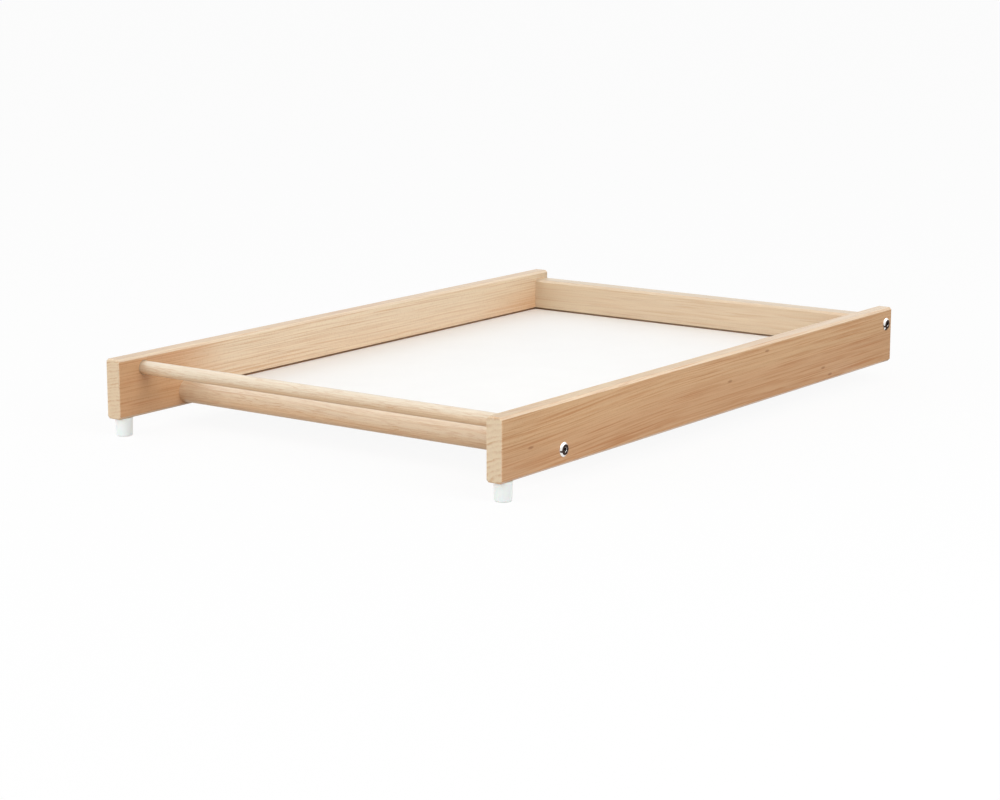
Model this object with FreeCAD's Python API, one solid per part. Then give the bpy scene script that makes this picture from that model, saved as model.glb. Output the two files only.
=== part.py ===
"""Cot top changer: two side boards, a back board, two round front rails and a panel held in grooves.

It lies across the two long rails of a cot on the undersides of its side boards, and the pegs under
their front ends stop it from sliding off. X runs across, Y from front to back and Z up. The origin
is in the middle of the changer, level with the bases of the pegs. All sizes are in millimetres.
"""
import FreeCAD, Part
import os
from FreeCAD import Vector

# Side boards
board_length = 800.0
board_height = 65.5
board_thickness = 19.0
board_chamfer = 2.5
board_end_round = 2.0
outer_width = 523.0
blind_wall = 7.0

# Upper front rail
upper_rail_diameter = 15.0
upper_rail_from_front = 39.0
upper_rail_below_top = 13.5
upper_rail_chamfer = 1.0
rail_hole_ease = 0.8

# Lower front rail
lower_rail_diameter = 25.0
lower_rail_from_front = 104.5
rail_web = 1.5

# Back board
back_board_thickness = 25.0
back_board_from_rear = 3.0
back_board_below_top = 9.5
back_board_above_underside = 4.0
back_bolt_below_top = 9.5
back_bolt_from_rear = 14.0

# Changing panel and its grooves
panel_thickness = 5.0
panel_above_underside = 12.5
panel_edge_play = 0.8
panel_corner_round = 2.0
groove_headroom = 2.2
groove_depth = 6.0

# Pegs under the front ends
foot_height = 20.0
foot_top_diameter = 19.0
foot_base_diameter = 17.5
foot_base_round = 1.5
foot_from_front = 15.5
foot_seat_height = 7.0
foot_screw_diameter = 4.0
foot_screw_length = 28.0
foot_screw_tip = 3.0
foot_screw_head_diameter = 8.0
foot_screw_head_height = 2.8
foot_screw_head_round = 1.2
foot_screw_recess_width = 1.0
foot_screw_recess_length = 4.4
foot_screw_recess_depth = 1.6

# Connector bolts
bolt_diameter = 6.0
bolt_tip_chamfer = 0.8
bolt_past_nut = 8.0
bolt_head_diameter = 15.0
bolt_face_diameter = 10.5
bolt_head_height = 2.0
bolt_rim_height = 0.5
bolt_socket_width = 4.0
bolt_socket_depth = 3.2

# Barrel nuts
nut_diameter = 10.0
nut_length = 12.0
nut_chamfer = 0.6
nut_from_end = 32.0
nut_slot_width = 1.4
nut_slot_depth = 1.6

# Dowel pins of the back board
pin_diameter = 8.0
pin_in_back_board = 18.0
pin_below_bolt = 17.0
pin_chamfer = 0.8

# Clearances
close_clearance = 0.1
nut_clearance = 0.15
bolt_clearance = 0.25
end_clearance = 0.3

# Places worked out from the sizes
underside = foot_height
board_top = underside + board_height
front_end = -board_length / 2
rear_end = board_length / 2
outer_face = outer_width / 2
inner_face = outer_face - board_thickness
blind_depth = board_thickness - blind_wall

groove_width = panel_thickness + groove_headroom
groove_floor = underside + panel_above_underside

upper_rail_y = front_end + upper_rail_from_front
upper_rail_z = board_top - upper_rail_below_top

nut_hole_radius = nut_diameter / 2 + nut_clearance
nut_hole_reach = nut_length / 2 + end_clearance
nut_x = inner_face - nut_from_end
bolt_hole_radius = bolt_diameter / 2 + bolt_clearance
bolt_length = board_thickness + nut_from_end + bolt_past_nut

lower_rail_y = front_end + lower_rail_from_front
lower_rail_z = groove_floor + groove_width / 2
lower_rail_groove_y = lower_rail_y + nut_hole_radius + rail_web

back_board_rear = rear_end - back_board_from_rear
back_board_front = back_board_rear - back_board_thickness
back_board_y = (back_board_front + back_board_rear) / 2
back_board_top = board_top - back_board_below_top
back_board_bottom = underside + back_board_above_underside
back_bolt_y = rear_end - back_bolt_from_rear
back_bolt_z = back_board_top - back_bolt_below_top
back_groove_y = back_board_front + groove_depth
pin_z = back_bolt_z - pin_below_bolt

foot_x = (inner_face + outer_face) / 2
foot_y = front_end + foot_from_front

ACROSS = Vector(1, 0, 0)
BACK = Vector(0, 1, 0)
UP = Vector(0, 0, 1)


def one_solid(shape):
    """The single solid of a finished cut or fuse."""
    if len(shape.Solids) != 1:
        raise ValueError("expected one solid, found %d" % len(shape.Solids))
    return shape.Solids[0]


def block(low, high):
    """A box between two opposite corners."""
    size = high.sub(low)
    return Part.makeBox(size.x, size.y, size.z, low)


def rod(radius, start, end):
    """A plain cylinder from one point to another."""
    along = end.sub(start)
    return Part.makeCylinder(radius, along.Length, start, along)


def chamfered_rod(radius, start, end, chamfer):
    """A cylinder with both end edges chamfered."""
    shape = rod(radius, start, end)
    rims = [edge for edge in shape.Edges if edge.Closed]
    return shape.makeChamfer(chamfer, rims)


def turned(points, axis_start, axis):
    """A solid of revolution from a closed outline of points in a plane that holds the axis."""
    outline = Part.Face(Part.makePolygon(points + points[:1]))
    return outline.revolve(axis_start, axis, 360)


def edges_along(shape, way):
    """The straight edges of a shape that run along one way."""
    return [edge for edge in shape.Edges if abs(edge.tangentAt(0).dot(way)) > 0.999]


def edges_across(shape, way):
    """The straight edges of a shape that run square to one way."""
    return [edge for edge in shape.Edges if abs(edge.tangentAt(0).dot(way)) < 0.001]


def mirrored(shape):
    """The same shape on the left side."""
    return shape.mirror(Vector(0, 0, 0), ACROSS)


def panel_groove(low_x, high_x, low_y, high_y):
    """The cutter of a groove at the panel's height."""
    return block(Vector(low_x, low_y, groove_floor), Vector(high_x, high_y, groove_floor + groove_width))


def side_board():
    """The right side board: chamfered, with its stopped groove, blind holes and bolt holes."""
    board = block(Vector(inner_face, front_end, underside), Vector(outer_face, rear_end, board_top))
    board = board.makeChamfer(board_chamfer, edges_along(board, BACK))
    board = board.makeFillet(board_end_round, edges_across(board, BACK))
    blind_end = inner_face + blind_depth
    groove = panel_groove(inner_face, inner_face + groove_depth, lower_rail_groove_y, back_groove_y)
    rail_hole_radius = upper_rail_diameter / 2 + close_clearance
    rail_mouth = Vector(inner_face, upper_rail_y, upper_rail_z)
    rail_hole = rod(rail_hole_radius, rail_mouth, Vector(blind_end, upper_rail_y, upper_rail_z))
    rail_ease = Part.makeCone(
        rail_hole_radius + rail_hole_ease, rail_hole_radius, rail_hole_ease, rail_mouth, ACROSS
    )
    pin_hole = rod(
        pin_diameter / 2 + close_clearance,
        Vector(inner_face, back_board_y, pin_z),
        Vector(blind_end, back_board_y, pin_z),
    )
    bolt_holes = [
        rod(bolt_hole_radius, Vector(inner_face, y, z), Vector(outer_face, y, z))
        for y, z in ((lower_rail_y, lower_rail_z), (back_bolt_y, back_bolt_z))
    ]
    screw_end = foot_seat_height + foot_screw_length + end_clearance
    screw_hole = rod(
        foot_screw_diameter / 2 + close_clearance,
        Vector(foot_x, foot_y, underside),
        Vector(foot_x, foot_y, screw_end),
    )
    return one_solid(board.cut([groove, rail_hole, rail_ease, pin_hole, screw_hole] + bolt_holes))


def end_bores(y, z, nut_way):
    """Cutters at both ends of a rail: the bolt's bore and the barrel nut's hole from one side."""
    bore = rod(
        bolt_hole_radius,
        Vector(inner_face, y, z),
        Vector(inner_face - nut_from_end - bolt_past_nut - end_clearance, y, z),
    )
    centre = Vector(nut_x, y, z)
    nut_hole = rod(
        nut_hole_radius,
        centre.sub(nut_way * nut_hole_reach),
        centre.add(nut_way * max(lower_rail_diameter, back_board_thickness)),
    )
    right = [bore, nut_hole]
    return right + [mirrored(cutter) for cutter in right]


def back_board():
    """The back board, chamfered like the side boards, with a groove for the panel."""
    board = block(
        Vector(-inner_face, back_board_front, back_board_bottom),
        Vector(inner_face, back_board_rear, back_board_top),
    )
    board = board.makeChamfer(board_chamfer, edges_along(board, ACROSS))
    groove = panel_groove(-inner_face, inner_face, back_board_front, back_groove_y)
    pin_bore = rod(
        pin_diameter / 2 + close_clearance,
        Vector(inner_face, back_board_y, pin_z),
        Vector(inner_face - pin_in_back_board, back_board_y, pin_z),
    )
    cutters = [groove, pin_bore, mirrored(pin_bore)] + end_bores(back_bolt_y, back_bolt_z, BACK)
    return one_solid(board.cut(cutters))


def lower_front_rail():
    """The round lower rail, with the panel's groove along its back and its nut holes underneath."""
    radius = lower_rail_diameter / 2
    rail = rod(
        radius,
        Vector(-inner_face, lower_rail_y, lower_rail_z),
        Vector(inner_face, lower_rail_y, lower_rail_z),
    )
    groove = panel_groove(-inner_face, inner_face, lower_rail_groove_y, lower_rail_y + radius)
    return one_solid(rail.cut([groove] + end_bores(lower_rail_y, lower_rail_z, UP * -1)))


def upper_front_rail():
    """The thin round rail, which ends in blind holes in both side boards."""
    half = inner_face + blind_depth - end_clearance
    return chamfered_rod(
        upper_rail_diameter / 2,
        Vector(-half, upper_rail_y, upper_rail_z),
        Vector(half, upper_rail_y, upper_rail_z),
        upper_rail_chamfer,
    )


def changing_panel():
    """The flat panel, which lies on the lower sides of the four grooves."""
    half = inner_face + groove_depth - panel_edge_play
    low = Vector(-half, lower_rail_groove_y + panel_edge_play, groove_floor)
    high = Vector(half, back_groove_y - panel_edge_play, groove_floor + panel_thickness)
    panel = block(low, high)
    corners = [edge for edge in panel.Edges if abs(edge.tangentAt(0).z) > 0.5]
    return panel.makeFillet(panel_corner_round, corners)


def foot():
    """The right peg: tapered, rounded at its base and bored out from below for its screw."""
    peg = Part.makeCone(foot_base_diameter / 2, foot_top_diameter / 2, foot_height, Vector(foot_x, foot_y, 0))
    base_rim = [edge for edge in peg.Edges if edge.Closed and edge.CenterOfMass.z < foot_height / 2]
    peg = peg.makeFillet(foot_base_round, base_rim)
    seat = Vector(foot_x, foot_y, foot_seat_height)
    recess = rod(foot_screw_head_diameter / 2 + bolt_clearance, Vector(foot_x, foot_y, 0), seat)
    hole = rod(foot_screw_diameter / 2 + close_clearance, seat, Vector(foot_x, foot_y, foot_height))
    return one_solid(peg.cut([recess, hole]))


def foot_screw():
    """The right peg's screw, with a rounded head and a cross recess, pointing up into the board."""
    seat = Vector(foot_x, foot_y, foot_seat_height)
    head_bottom = foot_seat_height - foot_screw_head_height
    head = rod(foot_screw_head_diameter / 2, Vector(foot_x, foot_y, head_bottom), seat)
    low_rim = [edge for edge in head.Edges if edge.Closed and edge.CenterOfMass.z < foot_seat_height - 0.001]
    head = head.makeFillet(foot_screw_head_round, low_rim)
    shank_end = Vector(foot_x, foot_y, foot_seat_height + foot_screw_length - foot_screw_tip)
    shank = rod(foot_screw_diameter / 2, seat, shank_end)
    tip = Part.makeCone(foot_screw_diameter / 2, 0, foot_screw_tip, shank_end)
    recess_top = head_bottom + foot_screw_recess_depth
    long_half = foot_screw_recess_length / 2
    short_half = foot_screw_recess_width / 2
    arms = [
        block(Vector(foot_x - dx, foot_y - dy, head_bottom), Vector(foot_x + dx, foot_y + dy, recess_top))
        for dx, dy in ((long_half, short_half), (short_half, long_half))
    ]
    return one_solid(head.fuse([shank, tip]).cut(arms))


def bolt(y, z):
    """A right-hand bolt: a bevelled flat head on the board's outer face and a shank through to its nut."""
    face_x = outer_face + bolt_head_height
    rim_x = outer_face + bolt_rim_height
    tip_x = outer_face - bolt_length
    shank_radius = bolt_diameter / 2
    tip_radius = shank_radius - bolt_tip_chamfer
    outline = [
        Vector(face_x, y, z),
        Vector(face_x, y + bolt_face_diameter / 2, z),
        Vector(rim_x, y + bolt_head_diameter / 2, z),
        Vector(outer_face, y + bolt_head_diameter / 2, z),
        Vector(outer_face, y + shank_radius, z),
        Vector(tip_x + bolt_tip_chamfer, y + shank_radius, z),
        Vector(tip_x, y + tip_radius, z),
        Vector(tip_x, y, z),
    ]
    body = turned(outline, Vector(face_x, y, z), ACROSS)
    hexagon_corner = bolt_socket_width / 3 ** 0.5
    hexagon = Part.makePolygon(
        [
            Vector(face_x, y, z).add(FreeCAD.Rotation(ACROSS, 60 * corner).multVec(BACK * hexagon_corner))
            for corner in range(7)
        ]
    )
    socket = Part.Face(hexagon).extrude(ACROSS * -bolt_socket_depth)
    return one_solid(body.cut(socket))


def barrel_nut(y, z, nut_way):
    """A right-hand barrel nut across the bolt, with its slotted end towards the open side of its hole."""
    centre = Vector(nut_x, y, z)
    half = nut_way * (nut_length / 2)
    nut = chamfered_rod(nut_diameter / 2, centre.sub(half), centre.add(half), nut_chamfer)
    bore_radius = bolt_diameter / 2 + close_clearance
    bore = rod(bore_radius, centre.sub(ACROSS * nut_diameter), centre.add(ACROSS * nut_diameter))
    slot_side = ACROSS * nut_diameter
    slot_height = nut_way.cross(ACROSS) * (nut_slot_width / 2)
    slot_top = centre.add(half)
    slot_floor = slot_top.sub(nut_way * nut_slot_depth)
    corners = [
        slot_floor.sub(slot_side).sub(slot_height),
        slot_floor.add(slot_side).sub(slot_height),
        slot_floor.add(slot_side).add(slot_height),
        slot_floor.sub(slot_side).add(slot_height),
    ]
    slot = Part.Face(Part.makePolygon(corners + corners[:1])).extrude(nut_way * (nut_slot_depth * 2))
    return one_solid(nut.cut([bore, slot]))


def dowel_pin():
    """The right dowel pin, between the side board and the back board."""
    return chamfered_rod(
        pin_diameter / 2,
        Vector(inner_face - pin_in_back_board + end_clearance, back_board_y, pin_z),
        Vector(inner_face + blind_depth - end_clearance, back_board_y, pin_z),
        pin_chamfer,
    )


def right_hand_pieces():
    """The pieces that are the same on both sides, by name without the side."""
    return {
        "%s_side_board": side_board(),
        "%s_foot": foot(),
        "%s_foot_screw": foot_screw(),
        "front_%s_bolt": bolt(lower_rail_y, lower_rail_z),
        "rear_%s_bolt": bolt(back_bolt_y, back_bolt_z),
        "front_%s_barrel_nut": barrel_nut(lower_rail_y, lower_rail_z, UP * -1),
        "rear_%s_barrel_nut": barrel_nut(back_bolt_y, back_bolt_z, BACK),
        "%s_dowel_pin": dowel_pin(),
    }


def all_pieces():
    """Every piece of the changer, by node name."""
    pieces = {
        "back_board": back_board(),
        "upper_front_rail": upper_front_rail(),
        "lower_front_rail": lower_front_rail(),
        "changing_panel": changing_panel(),
    }
    for name, shape in right_hand_pieces().items():
        pieces[name % "right"] = shape
        pieces[name % "left"] = mirrored(shape)
    return pieces


os.makedirs("parts", exist_ok=True)
for node, solid in all_pieces().items():
    if not solid.isValid():
        raise ValueError("%s isn't a valid solid" % node)
    solid.exportStep("parts/%s.step" % node)
    print("%-24s %10.1f mm3" % (node, solid.Volume))
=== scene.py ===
import math
from collections import namedtuple

import bmesh
import bpy
from bpy.props import FloatProperty, FloatVectorProperty, IntProperty, PointerProperty
from mathutils import Euler, Matrix, Vector


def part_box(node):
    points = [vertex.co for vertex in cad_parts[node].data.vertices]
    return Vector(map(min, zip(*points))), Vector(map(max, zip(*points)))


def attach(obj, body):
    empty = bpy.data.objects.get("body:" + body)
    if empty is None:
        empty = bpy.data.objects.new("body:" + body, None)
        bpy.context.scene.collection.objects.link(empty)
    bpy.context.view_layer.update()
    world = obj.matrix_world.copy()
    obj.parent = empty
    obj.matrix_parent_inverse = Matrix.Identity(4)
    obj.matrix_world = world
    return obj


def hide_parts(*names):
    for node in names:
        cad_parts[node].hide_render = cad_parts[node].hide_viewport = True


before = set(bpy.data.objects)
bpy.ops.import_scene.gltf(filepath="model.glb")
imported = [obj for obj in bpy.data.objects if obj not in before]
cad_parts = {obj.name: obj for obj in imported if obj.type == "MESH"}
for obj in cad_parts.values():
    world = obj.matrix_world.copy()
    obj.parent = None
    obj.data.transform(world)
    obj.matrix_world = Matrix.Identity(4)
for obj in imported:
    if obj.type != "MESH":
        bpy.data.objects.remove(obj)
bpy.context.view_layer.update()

bl_info = {
    "name": "Cot top changer",
    "version": (1, 0, 0),
    "blender": (4, 5, 0),
    "location": "3D View > Sidebar > Changer",
    "description": "Finishes the changer's boards, rails, panel and fittings, and sets its studio",
    "category": "Object",
}

BODY = "root"
MM = 0.001
SIDES = ("left", "right")
ENDS = ("front", "rear")
LEVELS = ("upper", "lower")
TURN = 2 * math.pi
QUARTER = TURN / 4
ACROSS = (1.0, 0.0, 0.0)
BACK = (0.0, 1.0, 0.0)
UP = (0.0, 0.0, 1.0)


def linear(red, green, blue):
    """A colour given in 8-bit display values, as the linear values that shaders take."""
    shares = (channel / 255 for channel in (red, green, blue))
    return tuple(s / 12.92 if s <= 0.04045 else ((s + 0.055) / 1.055) ** 2.4 for s in shares)


def colour(label, about, value):
    """A colour property."""
    return FloatVectorProperty(
        name=label, description=about, subtype="COLOR", size=3, min=0.0, max=1.0, default=value
    )


def length(label, about, value):
    """A length property, in metres."""
    return FloatProperty(name=label, description=about, unit="LENGTH", min=0.0, precision=5, default=value)


def share(label, about, value):
    """A property from 0 to 1."""
    return FloatProperty(name=label, description=about, subtype="FACTOR", min=0.0, max=1.0, default=value)


def amount(label, about, value, unit="NONE"):
    """A property from 0 up, such as a lamp's power."""
    return FloatProperty(name=label, description=about, unit=unit, min=0.0, default=value)


def degrees(label, about, value):
    """An angle property, with its default given in degrees."""
    return FloatProperty(name=label, description=about, subtype="ANGLE", default=math.radians(value))


def spot(label, about, value):
    """A property for a place in the scene, in metres."""
    return FloatVectorProperty(
        name=label, description=about, subtype="XYZ", unit="LENGTH", size=3, default=value
    )


class BeechSettings(bpy.types.PropertyGroup):
    """The changer's lacquered beech."""

    left_board: colour("Left board", "Pale wood of the left side board", linear(231, 210, 180))
    right_board: colour("Right board", "Pale wood of the right side board", linear(224, 199, 167))
    back_board: colour("Back board", "Pale wood of the back board", linear(218, 199, 169))
    upper_rail: colour("Upper rail", "Pale wood of the thin upper rail and the pins", linear(222, 208, 185))
    lower_rail: colour("Lower rail", "Pale wood of the thick lower rail", linear(225, 203, 174))
    left_end: colour("Left ends", "Sanded ends of the left board and the left pin", linear(217, 196, 166))
    right_end: colour("Right ends", "Sanded ends of the other pieces", linear(221, 202, 173))
    # Painted shade, darker and warmer, on the left board's inner face and the right board's wide faces.
    left_tan: colour("Left tan", "Tint of the left board's inner face where it darkened", (0.88, 0.66, 0.50))
    right_tan: colour("Right tan", "Tint of the right board's wide faces", (0.96, 0.83, 0.70))
    # Painted shade, darker and yellower, on the side boards' tops and undersides, most at the front.
    left_top: colour("Left top", "Tint of the left board's top and underside", (0.80, 0.66, 0.50))
    right_top: colour("Right top", "Tint of the right board's top and underside", (0.85, 0.77, 0.56))
    # Painted shade, darker and warmer, on the back board low down, near the panel.
    back_low: colour("Back board low", "Tint of the back board low down", (0.92, 0.88, 0.87))
    warm_tint: colour("Warm tint", "Tint of the warmer wood nearer to the heart", (0.91, 0.81, 0.79))
    # Painted shade, warmer and darker, on the rails' undersides.
    rail_low_shade: colour("Rail tint", "Tint of the warmer wood low in the rails", (1.0, 0.85, 0.70))
    ring_tint: colour("Ring tint", "Tint of the growth rings' dark edges and the dashes", (0.80, 0.62, 0.50))
    fleck_tint: colour("Fleck tint", "Tint of the rays and the small dark flecks", (0.42, 0.22, 0.12))
    ring_depth: share("Ring depth", "How dark the rings are", 0.80)
    front_shade: share("Front shade", "How much darker the side boards are at the front", 0.065)
    ray_depth: share("Ray depth", "How dark the rays are", 0.11)
    # Painted highlight: paler eased edges on the right side board, where they catch the light.
    edge_highlight: share("Edge wear", "How much paler the eased edges of the right side board are", 0.06)
    streak_depth: share("Streak depth", "How far streaks along the grain lighten and darken it", 0.20)
    lacquer_roughness: share("Lacquer roughness", "Roughness of the satin lacquer", 0.34)


class PanelSettings(bpy.types.PropertyGroup):
    """The changing panel's white film and its fibre core."""

    film_colour: colour("Film", "White film on both faces", linear(252, 252, 251))
    # Painted shade: the panel's edges in the grooves, which show as a dark line along them.
    groove_shade_colour: colour("Edges", "Bare edges that lie in the grooves", linear(196, 152, 116))
    core_colour: colour("Core", "Pressed fibre at the sawn edges", linear(150, 112, 78))
    edge_width: length("Edge width", "Width of the edges that lie in the grooves", 5.1 * MM)
    film_roughness: share("Film roughness", "Roughness of the satin film", 0.48)


class FittingSettings(bpy.types.PropertyGroup):
    """Bolts, screws, nuts, pins and the plastic pegs."""

    peg_colour: colour("Peg", "White moulded plastic", linear(243, 253, 255))
    steel_colour: colour("Polished steel", "Nickel-plated bolts", linear(240, 238, 235))
    zinc_colour: colour("Zinc", "Zinc-plated screws and nuts", linear(178, 180, 184))
    bolt_face_diameter: length("Bolt face", "Flat face of a bolt's head", 11.1 * MM)
    bolt_head_height: length("Bolt head", "Height of a bolt's head", 2.0 * MM)
    bolt_rim_height: length("Bolt rim", "Straight rim below the bevel of a bolt's head", 0.5 * MM)
    bolt_edge_round: length("Bolt edge", "Rounding of the edges of a bolt's head", 0.2 * MM)
    bolt_shank_diameter: length("Bolt shank", "Outside of the bolt's thread", 6.0 * MM)
    bolt_thread_length: length("Bolt thread", "Threaded stretch of a bolt", 26.0 * MM)
    bolt_pitch: length("Bolt pitch", "Step of the bolt's thread", 1.0 * MM)
    bolt_socket_width: length("Bolt socket", "Width of the hexagon socket across its flats", 4.0 * MM)
    bolt_socket_depth: length("Socket depth", "Depth of the hexagon socket", 3.2 * MM)
    screw_head_height: length("Screw head", "Height of a peg screw's head", 2.8 * MM)
    screw_shank_diameter: length("Screw shank", "Outside of the peg screw's thread", 4.0 * MM)
    screw_pitch: length("Screw pitch", "Step of the peg screw's thread", 1.8 * MM)
    screw_tip: length("Screw tip", "Length of the peg screw's point", 3.0 * MM)
    pin_flutes: IntProperty(name="Pin flutes", description="Flutes round a dowel pin", min=6, default=20)
    pin_flute_depth: length("Flute depth", "Depth of a dowel pin's flutes", 0.25 * MM)
    pin_chamfer: length("Pin chamfer", "Chamfer at a dowel pin's ends", 0.8 * MM)


class StageSettings(bpy.types.PropertyGroup):
    """Camera, lights and floor."""

    camera_place: spot("Camera", "Place of the camera", (1.63860, -2.30451, 0.58240))
    camera_azimuth: degrees("Azimuth", "Turn of the view towards the left", 35.912)
    camera_pitch: degrees("Pitch", "How far the view looks down", 11.527)
    camera_roll: degrees("Roll", "Turn of the camera about its view", 0.047)
    camera_lens: amount("Lens", "Focal length on a 36 mm sensor", 90.965, unit="CAMERA")
    key_power: amount("Key power", "Power of the large soft lamp in front", 44.0, unit="POWER")
    key_size: length("Key size", "Side of the large soft lamp in front", 2.0)
    key_place: spot("Key place", "Place of the large soft lamp in front", (-1.15, -2.70, 0.50))
    fill_power: amount("Fill power", "Power of the soft lamp at the right", 29.0, unit="POWER")
    fill_size: length("Fill size", "Side of the soft lamp at the right", 1.6)
    fill_place: spot("Fill place", "Place of the soft lamp at the right", (2.45, -0.55, 1.45))
    sky_strength: amount("Sky", "Strength of the even light from all round", 0.64)
    sky_gloss: amount("Overhead gloss", "How much brighter gloss shows the sky overhead", 2.2)
    floor_colour: colour("Floor", "What the floor sends back to the changer", (0.58, 0.51, 0.45))
    floor_white: share("Floor white", "Share of plain white in the floor that the camera sees", 0.92)
    side_card: colour("Side cards", "Cards that darken gloss at the sides and back", (0.060, 0.042, 0.036))
    front_card: colour("Front card", "Card that warms the gloss under the front rails", (0.75, 0.66, 0.56))


# How a piece was cut from its log, in millimetres. grain is the axis that its grain runs along, pith says
# where the pith lies from the piece's middle, sideways and up, and lean how many degrees it leans from the
# grain. climb is how far the grain climbs over CLIMB_STRETCH from the front end, heart the radius of the
# warmer wood round the pith, warmth how warm that is, ring_width the width of a growth ring, along the
# piece's place along the log, and ring_share how clear the rings are. In the rails, whose pith lies low,
# that warmer wood is painted shade on their undersides.
Cut = namedtuple(
    "Cut", "grain pith lean climb heart warmth ring_width along dash tan ring_share", defaults=(None, 1.0)
)
# The dark dashes of a piece, with their slope against the grain.
Dash = namedtuple("Dash", "thickness length depth slope")
# Painted shade on a side board, darker and warmer: between which places, from the front end, its wide faces
# stop being shaded, how shaded its top is at the rear, and how shaded the wide faces are low down, in front
# and at the rear.
Tan = namedtuple("Tan", "start stop top_rear low_front low_rear")
RAIL_DASH = Dash(0.9, 18, 0.75, 0.03)
PIN_DASH = Dash(0.8, 12, 0.60, 0.03)
CUTS = {
    "right_side_board": Cut(
        "Y", (20, -58), (0.2, -0.3), 10, 55, 0.5, 5.5, 100,
        Dash(1.3, 160, 1.00, 0.010), Tan(900, 1000, 0.0, 0.0, 0.0),
    ),
    "left_side_board": Cut(
        "Y", (16, -95), (-0.4, 0.4), 0, 70, 0.4, 3.6, 1300,
        Dash(1.2, 200, 0.80, -0.010), Tan(70, 200, 0.45, 0.2, 0.8),
    ),
    "back_board": Cut(
        "X", (-70, 30), (0.4, 0.5), 0, 68, 0.4, 4.0, 2700, Dash(1.6, 110, 0.50, 0.0), ring_share=0.45
    ),
    # The rails' pith lies low, so that their warmer wood is painted shade on their undersides.
    "upper_front_rail": Cut("X", (-6, -22), (0.1, 0.1), 0, 20.5, 1.0, 2.6, 4100, RAIL_DASH),
    "lower_front_rail": Cut("X", (-6, -30), (0.1, -0.1), 0, 26.5, 0.6, 3.0, 5600, RAIL_DASH),
    "left_dowel_pin": Cut("X", (-20, 9), (0.0, 0.0), 0, 20, 0.4, 2.4, 7200, PIN_DASH),
    "right_dowel_pin": Cut("X", (-24, -8), (0.0, 0.0), 0, 24, 0.4, 2.4, 8400, PIN_DASH),
}
CLIMB_STRETCH = 330
GRAIN_TURN = {"X": Euler((0.0, -QUARTER, 0.0)), "Y": Euler((QUARTER, 0.0, 0.0))}
GRAIN_AXIS = {"X": ACROSS, "Y": BACK}

# The finishes too are drawn in millimetres. For each soft noise, how long its lumps are along X, Y and Z,
# or in wood twice across the grain and then along it, and how much finer detail it has.
NOISES = {
    "wood_sway": ((40, 40, 300), 2.0),
    "wood_clouds": ((14, 14, 330), 2.0),
    "wood_streaks": ((2.6, 2.6, 140), 3.0),
    "wood_fibres": ((0.45, 0.45, 14), 2.0),
    "ring_waver": ((10, 10, 95), 2.0),
    "ring_patches": ((7, 7, 70), 2.0),
    "film_clouds": ((60, 60, 60), 3.0),
    "film_peel": ((1.6, 1.6, 1.6), 2.0),
    "core_fibres": ((1.2, 1.2, 0.3), 4.0),
    "plastic_grain": ((0.35, 0.35, 0.35), 3.0),
    "plastic_flow": ((7, 7, 16), 2.0),
    "steel_smears": ((4, 4, 4), 3.0),
    "zinc_spangle": ((1.5, 1.5, 1.5), 4.0),
}
# The values between which most of a soft noise lies.
NOISE_SPREAD = (0.3, 0.7)
# Growth rings: how far they waver and swell, in rings, the length over which they swell, the shares of a
# ring over which it darkens and pales, the noise over which patches of rings darken, and how dark the
# faintest ring and patch are.
RING_WAVER = 1.1
RING_SWELL = 2.0
SWELL_LENGTH = 17
RING_DARKENS = (0.30, 0.80)
RING_PALES = (0.84, 1.0)
FAINTEST_RING = 0.25
PATCH_SPREAD = (0.35, 0.65)
FAINTEST_PATCH = 0.2
# Dashes: the noise over which they darken, and the patches in which they are darker, as wide and long as
# so many dashes.
DASH_SPREAD = (0.48, 0.66)
CROWD_WIDTH = 9
CROWD_LENGTH = 5
LONGEST_CROWD = 240
CROWD_SPREAD = (0.34, 0.60)
FAINTEST_CROWD = 0.55
# Rays: the radius at which their angles become lengths, the cell round each, outwards, round and along,
# and the distances from its middle, in cells, over which it fades.
RAY_RADIUS = 60.0
RAY_CELL = (5.0, 0.55, 2.4)
RAY_FADE = (0.12, 0.42)
# Small dark flecks on the outer face of the right side board, from its front end and above its underside,
# how far each reaches along X, Y and Z, and the shares of that over which it fades.
DARK_FLECKS = ((48, 28), (423, 34), (502, 56), (632, 17), (649, 7))
FLECK_REACH = (2.0, 6.5, 1.9)
FLECK_FADE = (0.35, 1.0)
FLECK_DEPTH = 0.55
# Places on the boards, from their lowest corners, between which the painted shade on them changes.
LOW_SHADE_HEIGHT = (18.0, 62.0)
LOW_SHADE_STRETCH = (600.0, 800.0)
TOP_SHADE_STRETCH = (220.0, 700.0)
FRONT_SHADE_STRETCH = (20.0, 100.0)
BACK_LOW_STRETCH = (20.0, 150.0)
BACK_LOW_HEIGHT = (20.0, 31.0)
# How much painted shade the side boards' tops have in front.
TOP_SHADE_FRONT = 0.7
# How squarely a surface has to face an axis to be on a board's face, on its end, or clear of its edges.
ON_FACE = (0.75, 0.95)
ON_END = (0.60, 0.95)
OFF_EDGE = (0.82, 0.97)
# How far the grain sways off its line in the side boards and in the other pieces.
SIDE_BOARD_SWAY = (3, 3, 0)
OTHER_SWAY = (8, 8, 0)
# How far clouds move the edge of the warmer wood in all, and half the width over which it fades, in the
# rails, where that warmer wood is painted shade, and in the other pieces.
RAIL_SHADE_EDGE = (14.0, 5.0)
OTHER_HEART_EDGE = (34.0, 12.0)
# The streaks' share of the fine lines, how much duller sawn ends are, and how far dashes dip.
STREAK_SHARE = 0.7
END_DULLNESS = 0.15
DASH_DIP = 0.4
# The panel: how sharply the painted shade on its edges in the grooves begins, how flat a surface with film
# lies, and how much rougher the core is.
GROOVE_SHADE_BLUR = 0.2
ON_FILM = (0.4, 0.6)
CORE_ROUGHER = 0.45
# Bolts: turning marks to a millimetre, the shade in the socket, and where outside its flats that ends.
TURNING_MARKS = 9.0
SOCKET_SHADE = 0.25
SOCKET_SHADE_EDGE = (0.1, 0.6)


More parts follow.
